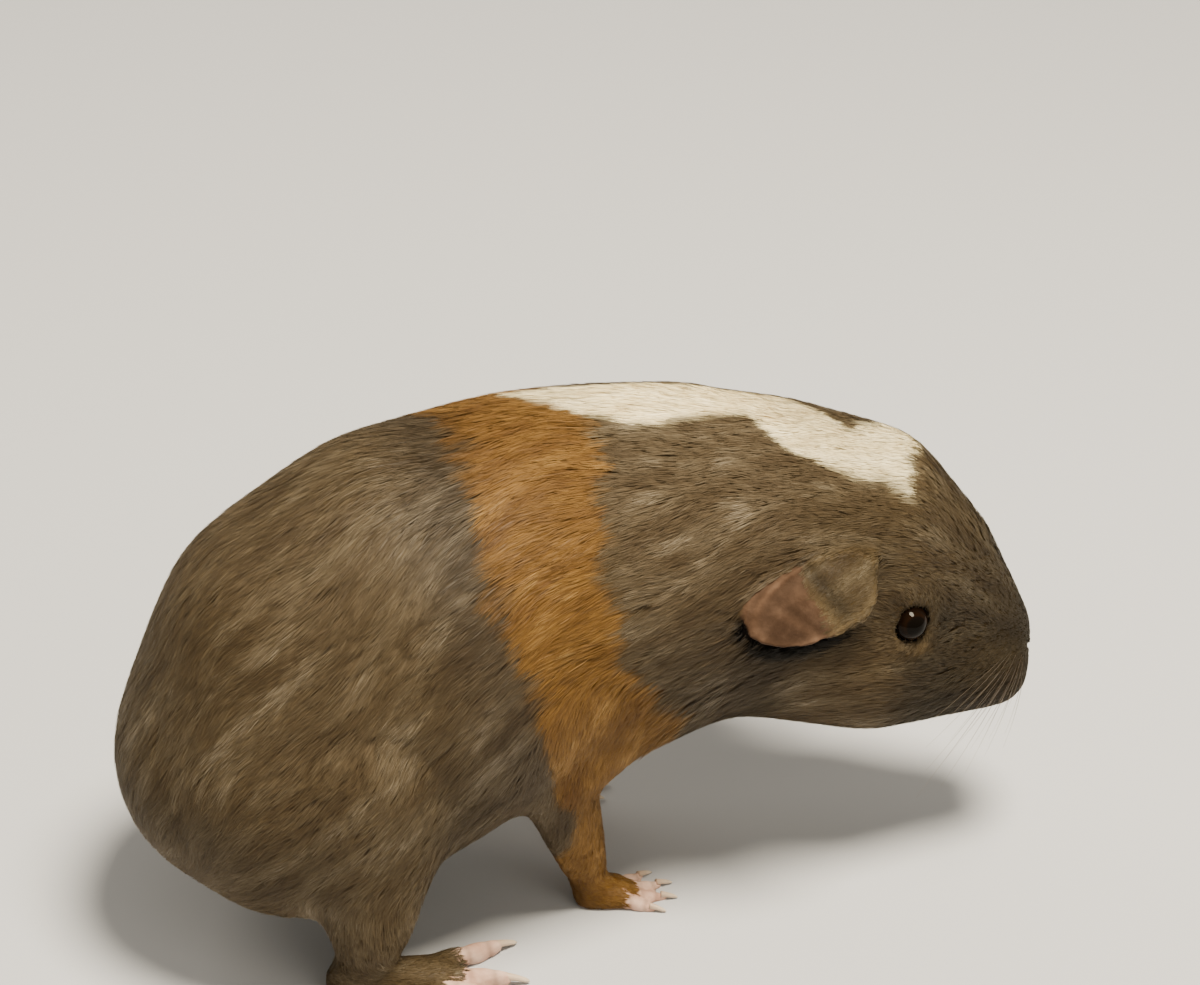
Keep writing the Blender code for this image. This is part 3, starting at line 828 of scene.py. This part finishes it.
def mark_face(points, tone, light):
    """Adds the spots round the eyes, a painted shadow below each ear, and painted highlights on the ears'
    rims and folds with painted shade in their grooves.
    """
    for side, eye in EYES.items():
        away = points - eye
        near = rise(14, 10, distance(away))
        for forward, up, long, high, change in FACE_SPOTS:
            spot = bell(away @ FORWARD, forward, long) * bell(away[:, 2], up, high)
            light = light * (1 + change * near * spot)
        ear = EARS[side]
        here = on_ear(points, ear)
        rim, fold, groove = ear_folds(points, ear)
        # The fur below each ear gets a painted shadow of the ear; the ear's own colour is darker.
        light = light * (1 - 0.96 * below_ear(points, ear, PAINTED_EAR_SHADOW) * (1 - here)) * (1 - 0.30 * here)
        # Painted highlights on the rim and folds, painted shade in the groove.
        light = light * (1 + 0.46 * fold + 0.48 * rim - 0.38 * groove)
        tone = tone + (1 - tone) * here
    return tone, light


# ---------------- the coat

def plan_coat(skin):
    """Hair length, lock area, hair width and depth of coat at each point of the skin."""
    from_nose = distance((in_head(skin.points) - NOSE) * (1, 1, 0.9))
    behind = rise(4, 45, from_nose)
    length = skin.planned("length", 14) * (0.17 + 0.83 * rise(3, 50, from_nose))
    area = skin.planned("area", 8) * (0.22 + 0.78 * behind)
    width = skin.planned("width", 8) * (0.55 + 0.45 * behind)
    for eye in EYES.values():
        near = rise(18, 6.5, distance(skin.points - eye))
        length = length * (1 - 0.70 * near)
        area = area * (1 - 0.55 * near)
        width = width * (1 - 0.35 * near)
    leg = (skin.kinds == "hindleg") | (skin.kinds == "foreleg")
    low_leg = rise(40, 14, skin.points[:, 2]) * leg
    belly = rise(-0.2, -0.8, skin.normals()[:, 2]) * (skin.kinds == "trunk")
    length = length * (1 - 0.55 * skin.spread(low_leg, 6)) * (1 - 0.25 * skin.spread(belly, 6))
    length = length * (1 - 0.75 * skin.spread(ear_hollows(skin.points, skin.kinds), 12))
    depth = np.minimum(skin.planned("depth", 12), LAY_OF_HAIR * length)
    return SimpleNamespace(length=length, area=area, width=width, depth=depth)


def unwrap(obj):
    """An unwrap of the skin's own shape, read back for each corner of its triangles."""
    bpy.context.view_layer.objects.active = obj
    obj.select_set(True)
    bpy.ops.object.mode_set(mode="EDIT")
    bpy.ops.mesh.select_all(action="SELECT")
    obj.data.uv_layers.new(name=COAT_MAP)
    bpy.ops.uv.smart_project(angle_limit=math.radians(66), island_margin=ISLAND_GAP, scale_to_bounds=True)
    bpy.ops.object.mode_set(mode="OBJECT")
    obj.select_set(False)
    places = numbers(obj.data.uv_layers[COAT_MAP].uv, "vector", 2)
    obj.data.calc_loop_triangles()
    return places[numbers(obj.data.loop_triangles, "loops", 3, np.int32)]


def in_winding_order(points):
    """An order of the points in which neighbours stay close together."""
    cells = ((points - points.min(0)) / 3.0).astype(np.int64)
    code = np.zeros(len(points), np.int64)
    for bit in range(7):
        for axis in range(3):
            code |= ((cells[:, axis] >> bit) & 1) << (3 * bit + axis)
    return np.argsort(code, kind="stable")


class Roots:
    """Evenly spread roots of locks: the triangle each stands in, and its shares of the three corners."""

    def __init__(self, skin, density, rng):
        corners = skin.points[skin.triangles]
        area = distance(np.cross(corners[:, 1] - corners[:, 0], corners[:, 2] - corners[:, 0])) / 2
        order = in_winding_order(corners.mean(1))
        total = np.cumsum((area * density[skin.triangles].mean(1))[order])
        count = int(total[-1])
        places = (np.arange(count) + rng.uniform(0, 1, count)) / count * total[-1]
        self.triangle = order[np.searchsorted(total, places).clip(0, len(order) - 1)]
        self.shares = rng.dirichlet((1.0, 1.0, 1.0), count)
        self.corners = skin.triangles[self.triangle]

    def blend(self, values):
        """The values of the skin's points at each root."""
        return self.blend_corners(values[self.corners])

    def blend_corners(self, values):
        return (values * (self.shares if values.ndim == 2 else self.shares[..., None])).sum(1)


def coat_density(skin, plan, bare):
    """How many locks stand on a square millimetre: few or none where the skin is bare or inside the lids."""
    hidden = np.zeros(len(skin.points))
    for side in SIDES:
        _, reach, angle = round_eye(skin.points, side)
        hidden = np.maximum(hidden, (reach < EYE_RADIUS + LID_REACH) & (angle < LID_OPENING + 0.12))
    hollow = HOLLOW_SKIN * ear_hollows(skin.points, skin.kinds)
    return QUICK_DENSITY * (1 - np.clip(np.maximum.reduce([*bare, hidden, hollow]), 0, 1)) / plan.area


def lock_lengths(skin, roots, plan, lie, rng):
    """How long each lock is. Those that would hang over a hollow below an ear are cut short."""
    length = roots.blend(plan.length) * rng.uniform(0.8, 1.15, len(roots.triangle))
    start, ahead = roots.blend(skin.points), roots.blend(lie)
    kinds = skin.kinds[roots.corners[:, 0]]
    for reach in (0.35, 0.9):
        into = ear_hollows(start + ahead * (length * reach)[:, None], kinds)
        length = length * (1 - 0.72 * rise(0.1, 0.6, into))
    return length


def grow_locks(skin, roots, lie, length, rng):
    """Each lock's centre line at its root, bend and tip, with the normal and the side direction there."""
    tree = BVHTree.FromPolygons([Vector(p) for p in skin.points], skin.triangles.tolist())
    normals = skin.normals()
    at, normal, way = roots.blend(skin.points), unit(roots.blend(normals)), unit(roots.blend(lie))
    turn = 0.20 * waves(at, 30, 3) + 0.16 * waves(at, 9, 4) + rng.normal(0, 0.13, len(at))
    way = unit(way + np.cross(normal, way) * turn[:, None])
    line, over, ways = [at], [normal], [way]
    for reach in (HAIR_BEND, 1 - HAIR_BEND):
        found = [tree.find_nearest(p) for p in at + way * (length * reach)[:, None]]
        at = np.array([hit[0] for hit in found])
        index = skin.triangles[[hit[2] for hit in found], 0]
        normal = normals[index]
        way = unit(way + 0.5 * lie[index])
        way = unit(way - normal * (way * normal).sum(1, keepdims=True))
        line.append(at)
        over.append(normal)
        ways.append(way)
    line, over, ways = (np.stack(item, 1) for item in (line, over, ways))
    return line, over, np.cross(over, ways)


def mark_locks(line, roots, plan, places, rng):
    """Each lock's spread, width and depth, and the values that its material reads."""
    root = line[:, 0]
    orange, white, tone, light = markings(root + (line[:, 2] - root) * MARKED_AT, 1.0)
    way = unit(line[:, 2] - root)
    chance = 0.5 + 0.27 * streaks(root, way, 1.8, 7, 31) + 0.09 * streaks(root, way, 6, 12, 32)
    return SimpleNamespace(
        root=root,
        spread=LOCK_SPREAD * np.sqrt(roots.blend(plan.area)) * QUICK_SPREAD,
        width=roots.blend(plan.width) * QUICK_WIDTH,
        depth=roots.blend(plan.depth),
        chance=np.clip(chance + rng.normal(0, 0.10, len(root)), 0, 1),
        marks=np.stack([orange, white, tone], -1),
        light=light,
        place=roots.blend_corners(places[roots.triangle]),
        hair=rng.uniform(0, 1, (len(root), HAIRS_IN_LOCK)),
    )


def hair_strips(line, over, side, locks, rng):
    """Five points for each hair: two at the root, two at the bend and the tip."""
    shape = (len(line), HAIRS_IN_LOCK)
    spread = locks.spread[:, None]
    sideways = rng.uniform(-1, 1, shape) * spread
    start = rng.uniform(-1.2, 1.2, shape) * spread
    clump = rng.uniform(0.10, 0.45, (len(line), 1))
    stray = rng.normal(0, 0.22, shape) * spread
    length_share = rng.uniform(0.78, 1.0, shape)
    height = rng.uniform(0.80, 1.02, (len(line), 1)) + rng.normal(0, 0.06, shape)
    roll = rng.normal(0, 0.24, shape)
    way = unit(line[:, 2] - line[:, 0])[:, None]
    width = locks.width[:, None] * rng.uniform(0.75, 1.2, shape)
    root = line[:, 0, None]
    points = []
    for step, (reach, lift, taper) in enumerate(HAIR_STEPS):
        across, up = side[:, step, None], over[:, step, None]
        middle = line[:, step, None] + way * (start * (1 - 0.5 * reach))[..., None]
        if step:
            middle = root + (middle - root) * length_share[..., None]
        middle = middle + across * (sideways * (1 - reach * clump) + stray * reach)[..., None]
        middle = middle + up * (locks.depth[:, None] * lift * height)[..., None]
        flat = across * np.cos(roll)[..., None] + up * np.sin(roll)[..., None]
        flat = flat * (taper * width / 2)[..., None]
        points.extend([middle - flat, middle + flat] if taper else [middle])
    points = np.stack(points, 2)
    points[..., 2] = np.maximum(points[..., 2], FLOOR_GAP)
    return points


def strip_mesh(name, points, locks):
    """A mesh of the hairs, each a four-cornered face and a pointed one, with what their material reads."""
    count = points.shape[0] * points.shape[1]
    mesh = bpy.data.meshes.new(name)
    mesh.vertices.add(count * 5)
    place_points(mesh, points)
    corner = (np.arange(count)[:, None] * 5 + np.array((0, 1, 3, 2, 2, 3, 4))).astype(np.int32)
    mesh.loops.add(count * 7)
    mesh.loops.foreach_set("vertex_index", corner.ravel())
    mesh.polygons.add(count * 2)
    mesh.polygons.foreach_set("loop_start", (np.arange(count)[:, None] * 7 + (0, 4)).astype(np.int32).ravel())
    mesh.update(calc_edges=True)
    mesh.shade_smooth()
    each = HAIRS_IN_LOCK * 5
    along = np.tile(np.array((0, 0, HAIR_BEND, HAIR_BEND, 1.0)), count)
    lock = np.stack([along, np.repeat(locks.chance, each), np.repeat(locks.hair.ravel(), 5)], -1)
    carried = {"root": locks.root * MM, "marks": locks.marks, "light": locks.light}
    write_values(mesh, lock=lock, **{name: np.repeat(values, each, 0) for name, values in carried.items()})
    patch = np.array(((-1, -1), (1, -1), (1, 0), (-1, 0), (-1, 0), (1, 0), (0, 1))) * PATCH / 2
    places = np.repeat(locks.place, HAIRS_IN_LOCK, 0)[:, None] + patch
    layer = mesh.uv_layers.new(name=COAT_MAP, do_init=False)
    layer.uv.foreach_set("vector", places.astype(np.float32).ravel())
    return mesh


def coat_regions(root, kinds):
    """The name of the coat piece that each lock belongs to."""
    place = in_head(root)
    end = np.where(root[:, 0] > REAR_ENDS, "front", "rear")
    face = np.where(place[:, 0] > FACE_STARTS, "face", "head")
    fore, hind = np.char.startswith(kinds, "fore"), np.char.startswith(kinds, "hind")
    which = [kinds == "trunk", kinds == "head", fore, hind]
    region = np.select(which, [end, face, "foreleg", "hindleg"], kinds)
    across = np.where(kinds == "head", place[:, 1], root[:, 1])
    side = np.select([kinds == "neck", across > 0], ["", "_left"], "_right")
    return np.char.add(np.char.add("coat_", region), side)


def build_coat(skin, bare, plan, places):
    rng = np.random.default_rng(7)
    lie = lie_of_coat(skin)
    roots = Roots(skin, coat_density(skin, plan, bare), rng)
    length = lock_lengths(skin, roots, plan, lie, rng)
    line, over, side = grow_locks(skin, roots, lie, length, rng)
    locks = mark_locks(line, roots, plan, places, rng)
    points = hair_strips(line, over, side, locks, rng)
    region = coat_regions(locks.root, skin.kinds[roots.corners[:, 0]])
    for name in sorted(set(region)):
        here = region == name
        chosen = SimpleNamespace(**{key: value[here] for key, value in vars(locks).items()})
        piece = add_object(name, strip_mesh(name, points[here], chosen))
        finish_piece(piece, fur_material(), "coat")


# ---------------- materials

class Tree:
    """Adds nodes to a node tree, each from its kind, what its inputs take, and its settings."""

    def __init__(self, tree):
        self.tree = tree
        tree.nodes.clear()

    def add(self, kind, inputs=None, **settings):
        node = self.tree.nodes.new(kind)
        for name, value in settings.items():
            setattr(node, name, value)
        for name, value in (inputs or {}).items():
            if isinstance(value, bpy.types.NodeSocket):
                self.tree.links.new(value, node.inputs[name])
            else:
                node.inputs[name].default_value = value
        return node

    def math(self, operation, *values, clamp=False):
        node = self.add("ShaderNodeMath", dict(enumerate(values)), operation=operation, use_clamp=clamp)
        return node.outputs[0]

    def sway(self, value, source, amount):
        """A value that goes up and down by half that amount as the source goes from 0 to 1."""
        return self.math("MULTIPLY_ADD", self.math("SUBTRACT", source, 0.5), amount, value)

    def mix(self, share, a, b, blend="MIX"):
        node = self.add("ShaderNodeMix", {0: share, 6: a, 7: b}, data_type="RGBA", blend_type=blend)
        return node.outputs[2]

    def noise(self, where, size, detail=2.0):
        inputs = {"Vector": where, "Scale": 1.0 / size, "Detail": detail}
        return self.add("ShaderNodeTexNoise", inputs).outputs["Fac"]

    def bump(self, height, strength, distance):
        inputs = {"Height": height, "Strength": strength, "Distance": distance}
        return self.add("ShaderNodeBump", inputs).outputs[0]

    def ramp(self, share, stops):
        node = self.add("ShaderNodeValToRGB", {"Fac": share})
        band = node.color_ramp.elements
        while len(band) < len(stops):
            band.new(0.5)
        for item, (place, colour) in zip(band, stops):
            item.position = place
            item.color = (*colour, 1.0)
        return node.outputs["Color"]

    def read(self, name, output="Vector"):
        return self.add("ShaderNodeAttribute", attribute_name=name).outputs[output]

    def split(self, vector):
        return self.add("ShaderNodeSeparateXYZ", {0: vector}).outputs

    def finish(self, inputs):
        surface = self.add("ShaderNodeBsdfPrincipled", inputs)
        self.add("ShaderNodeOutputMaterial", {"Surface": surface.outputs[0]})


def new_material(name):
    mat = bpy.data.materials.new(name)
    mat.use_nodes = True
    return mat, Tree(mat.node_tree)


@cache
def coat_colour_group():
    """The colour of a hair from where it grows, how far along it is, its lock and its markings."""
    group = bpy.data.node_groups.new("coat_colour", "ShaderNodeTree")
    group.interface.new_socket("Root", in_out="INPUT", socket_type="NodeSocketVector")
    for name in ("Along", "Lock", "Hair", "Orange", "White", "Tone", "Light"):
        group.interface.new_socket(name, in_out="INPUT", socket_type="NodeSocketFloat")
    group.interface.new_socket("Color", in_out="OUTPUT", socket_type="NodeSocketColor")
    tree = Tree(group)
    given = tree.add("NodeGroupInput").outputs
    value = tree.math("MULTIPLY_ADD", given["Lock"], 0.75, 0.02)
    value = tree.sway(value, given["Hair"], 0.26)
    value = tree.sway(value, tree.noise(given["Root"], 0.016), 0.32)
    value = tree.sway(value, tree.noise(given["Root"], 0.005, 1.0), 0.20)
    value = tree.sway(value, given["Along"], 0.30)
    agouti = tree.mix(given["Tone"], tree.ramp(value, GREY_AGOUTI), tree.ramp(value, AGOUTI))
    colour = tree.mix(given["Orange"], agouti, tree.ramp(value, ORANGE))
    colour = tree.mix(given["White"], colour, tree.ramp(value, WHITE))
    # Roots are darker, for the agouti hair's dark base and as painted shade deep in the coat, though white
    # hairs are not. The Light input brings the painted light and shade of the markings, with the fur's own
    # lighter and darker places.
    root = tree.add("ShaderNodeMapRange", {0: given["Along"], 1: 0.0, 2: 0.75, 3: 0.84, 4: 1.0}).outputs[0]
    shade = tree.math("MULTIPLY_ADD", given["White"], tree.math("SUBTRACT", 1.0, root), root)
    colour = tree.mix(1.0, colour, tree.math("MULTIPLY", shade, given["Light"]), "MULTIPLY")
    tree.add("NodeGroupOutput", {"Color": colour})
    return group


def coat_colour(tree):
    """The coat's colour in a material, read from the values its piece carries."""
    lock, marks = tree.split(tree.read("lock")), tree.split(tree.read("marks"))
    values = {
        "Root": tree.read("root"), "Along": lock[0], "Lock": lock[1], "Hair": lock[2],
        "Orange": marks[0], "White": marks[1], "Tone": marks[2], "Light": tree.read("light", "Fac"),
    }
    return tree.add("ShaderNodeGroup", values, node_tree=coat_colour_group()).outputs["Color"]


@cache
def fur_material():
    mat, tree = new_material("fur")
    hair = tree.split(tree.read("lock"))[2]
    tree.finish({
        "Base Color": coat_colour(tree), "Roughness": tree.math("MULTIPLY_ADD", hair, 0.22, 0.48),
        "Specular IOR Level": 0.20, "Sheen Weight": 0.05, "Sheen Roughness": 0.5, "Sheen Tint": SHEEN_TINT,
    })
    return mat


@cache
def eye_material():
    mat, tree = new_material("eye_gloss")
    iris = tree.ramp(tree.read("off_axis", "Fac"), EYE_COLOURS)
    tree.finish({"Base Color": iris, "Roughness": 0.05, "IOR": 1.36, "Specular IOR Level": 0.10})
    return mat


@cache
def horn_material():
    mat, tree = new_material("horn")
    grain = tree.noise(tree.add("ShaderNodeTexCoord").outputs["Object"], 0.0006, 3.0)
    colour = tree.ramp(tree.read("along", "Fac"), HORN)
    tree.finish({
        "Base Color": tree.mix(tree.math("MULTIPLY", grain, 0.5), colour, HORN_GRAIN),
        "Roughness": tree.math("MULTIPLY_ADD", grain, 0.25, 0.28), "Normal": tree.bump(grain, 0.25, 0.0002),
    })
    return mat


@cache
def whisker_material():
    mat, tree = new_material("whisker")
    tree.finish({"Base Color": tree.ramp(tree.read("along", "Fac"), WHISKER), "Roughness": 0.4})
    return mat


@cache
def skin_material():
    mat, tree = new_material("skin_and_undercoat")
    ear, toe, dark = tree.split(tree.read("bare"))
    where = tree.add("ShaderNodeTexCoord").outputs["Object"]
    mottle = tree.noise(where, 0.004, 4.0)
    colour = tree.mix(ear, coat_colour(tree), tree.ramp(mottle, EAR_SKIN))
    colour = tree.mix(toe, colour, tree.ramp(mottle, TOE_SKIN))
    colour = tree.mix(dark, colour, DARK_SKIN)
    shaded = tree.mix(1.0, colour, tree.read("light", "Fac"), "MULTIPLY")
    bare = tree.math("MAXIMUM", tree.math("MAXIMUM", ear, toe), dark)
    rough = tree.math("MULTIPLY_ADD", dark, 0.3, tree.math("MULTIPLY_ADD", mottle, 0.25, 0.6), clamp=True)
    grain = tree.math("MULTIPLY_ADD", mottle, 1.5, tree.noise(where, 0.0009, 3.0))
    tree.finish({
        "Base Color": tree.mix(bare, colour, shaded), "Roughness": rough,
        "Normal": tree.bump(grain, 0.35, 0.0004), "Specular IOR Level": 0.08,
    })
    return mat


# ---------------- floor, light and camera

def build_stage():
    shape = bmesh.new()
    bmesh.ops.create_grid(shape, x_segments=1, y_segments=1, size=3.0)
    floor = add_object("floor", mesh_from(shape, "floor"))
    mat, tree = new_material("pale_floor")
    tree.finish({"Base Color": FLOOR_COLOUR, "Roughness": 0.9})
    floor.data.materials.append(mat)


def area_light(name, place, target, size, power, colour):
    data = bpy.data.lights.new(name, "AREA")
    data.shape = "DISK"
    data.size = size
    data.energy = power
    data.color = colour
    obj = add_object(name, data)
    obj.location = place
    obj.rotation_euler = (Vector(target) - Vector(place)).to_track_quat("-Z", "Y").to_euler()
    obj.visible_glossy = name != "fill"


def build_lights():
    world = bpy.data.worlds.new("studio")
    bpy.context.scene.world = world
    world.use_nodes = True
    room = world.node_tree.nodes["Background"].inputs
    room["Color"].default_value = ROOM_COLOUR
    room["Strength"].default_value = ROOM_STRENGTH
    for name, light in LIGHTS.items():
        area_light(name, *light)


def build_camera():
    back = Vector((
        math.sin(CAMERA_AZIMUTH) * math.cos(CAMERA_ELEVATION),
        -math.cos(CAMERA_AZIMUTH) * math.cos(CAMERA_ELEVATION),
        math.sin(CAMERA_ELEVATION),
    ))
    data = bpy.data.cameras.new("camera")
    data.lens = CAMERA_LENS
    data.sensor_width = 36.0
    camera = add_object("camera", data)
    camera.location = CAMERA_TARGET + back * CAMERA_DISTANCE
    camera.rotation_euler = (-back).to_track_quat("-Z", "Y").to_euler()
    bpy.context.scene.camera = camera


skin_object, skin, bare, plan = build_skin()
build_coat(skin, bare, plan, unwrap(skin_object))
build_eyes()
build_claws()
build_whiskers()
build_stage()
build_lights()
build_camera()
